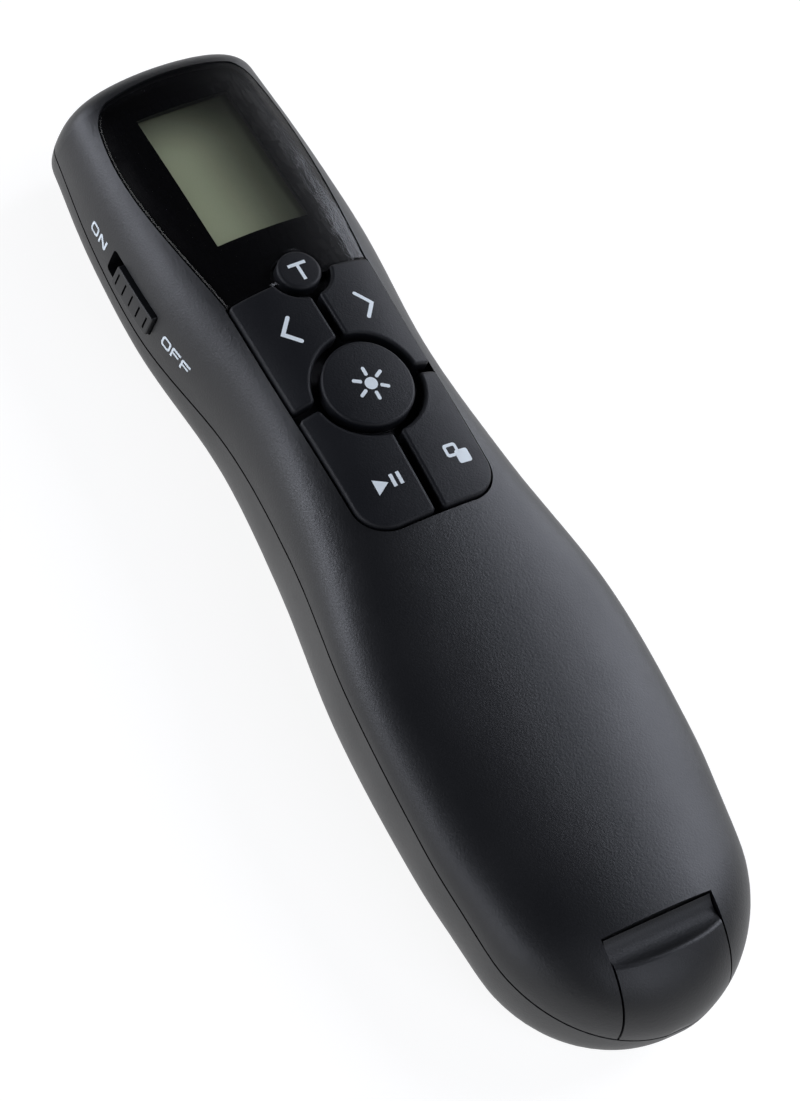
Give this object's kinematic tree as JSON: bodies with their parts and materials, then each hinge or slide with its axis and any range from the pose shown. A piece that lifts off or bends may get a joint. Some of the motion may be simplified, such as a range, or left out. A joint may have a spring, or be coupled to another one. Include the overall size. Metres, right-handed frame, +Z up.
{
  "type": "wireless presentation clicker",
  "caption": "Hand-held wireless presentation clicker with a timer display, push keys, a side power slider, a laser in the nose and a plug-in receiver stowed in the tail.",
  "frame": {"origin": "on the table, below the middle of the length and width", "axes": "+Y to the laser end, +X to the user's right, +Z up out of the keys"},
  "size_m": [0.0376, 0.1339, 0.0253],
  "materials": {
    "shell": "fine-grained matt black",
    "key": "matt black, soft touch",
    "slider": "matt black",
    "window": "polished clear",
    "window_print": "black print behind the window",
    "display": "grey-green reflective display",
    "inner_plastic": "plain moulded",
    "tinned": "tinned",
    "board": "green solder mask",
    "switch_body": "plain moulded",
    "plunger": "plain moulded",
    "chip": "moulded package",
    "plated": "nickel plated",
    "ring": "black, satin",
    "lens": "polished clear",
    "brass": "turned",
    "copper": "tinned copper",
    "cell": "printed sleeve, plain",
    "spring": "nickel plated wire",
    "screw": "zinc plated, dark",
    "tongue": "plain moulded",
    "gold": "gold plated"
  },
  "bodies": {
    "case": {"upper_shell": "shell", "lower_shell": "shell", "display_window": "window", "display_mask": "window_print", "lcd_glass": "display", "lcd_frame": "inner_plastic", "lcd_pins": "tinned", "key_guide": "inner_plastic", "main_board": "board", "push_switches": "switch_body", "controller_chip": "chip", "radio_chip": "chip", "crystal": "plated", "slide_switch": "plated", "laser_ring": "ring", "laser_lens": "lens", "laser_barrel": "brass", "laser_leads": "copper", "battery_cells": "cell", "contact_plates": "plated", "battery_springs": "spring", "case_screws": "screw", "board_screws": "screw", "receiver_tray": "inner_plastic"},
    "timer_button": {"timer_key": "key", "timer_plunger": "plunger"},
    "previous_button": {"previous_key": "key", "previous_plunger": "plunger"},
    "next_button": {"next_key": "key", "next_plunger": "plunger"},
    "laser_button": {"laser_key": "key", "laser_plunger": "plunger"},
    "play_button": {"play_key": "key", "play_plunger": "plunger"},
    "swap_button": {"swap_key": "key", "swap_plunger": "plunger"},
    "power_slider": {"slider_knob": "slider", "slide_lever": "switch_body"},
    "receiver": {"receiver_cap": "shell", "usb_shell": "plated", "usb_tongue": "tongue", "usb_contacts": "gold"},
    "door": {"battery_door": "shell"}
  },
  "joints": [
    {"name": "timer_press", "type": "slide", "parent": "case", "child": "timer_button", "axis": [0, 0, -1], "range_m": [0, 0.0005], "stiffness_N_per_m": 1500, "springref_m": -0.0003},
    {"name": "previous_press", "type": "slide", "parent": "case", "child": "previous_button", "axis": [0, 0, -1], "range_m": [0, 0.0005], "stiffness_N_per_m": 1500, "springref_m": -0.0003},
    {"name": "next_press", "type": "slide", "parent": "case", "child": "next_button", "axis": [0, 0, -1], "range_m": [0, 0.0005], "stiffness_N_per_m": 1500, "springref_m": -0.0003},
    {"name": "laser_press", "type": "slide", "parent": "case", "child": "laser_button", "axis": [0, 0, -1], "range_m": [0, 0.0005], "stiffness_N_per_m": 1500, "springref_m": -0.0003},
    {"name": "play_press", "type": "slide", "parent": "case", "child": "play_button", "axis": [0, 0, -1], "range_m": [0, 0.0005], "stiffness_N_per_m": 1500, "springref_m": -0.0003},
    {"name": "swap_press", "type": "slide", "parent": "case", "child": "swap_button", "axis": [0, 0, -1], "range_m": [0, 0.0005], "stiffness_N_per_m": 1500, "springref_m": -0.0003},
    {"name": "power_slide", "type": "slide", "parent": "case", "child": "power_slider", "axis": [0, 0.9969, -0.0785], "range_m": [0, 0.002]},
    {"name": "receiver_pull", "type": "slide", "parent": "case", "child": "receiver", "axis": [0, -1, 0], "range_m": [0, 0.03]},
    {"name": "door_swing", "type": "hinge", "parent": "case", "child": "door", "pos_m": [0, -0.0423, 0.00015], "axis": [-1, 0, 0], "range_deg": [0, 60]}
  ]
}
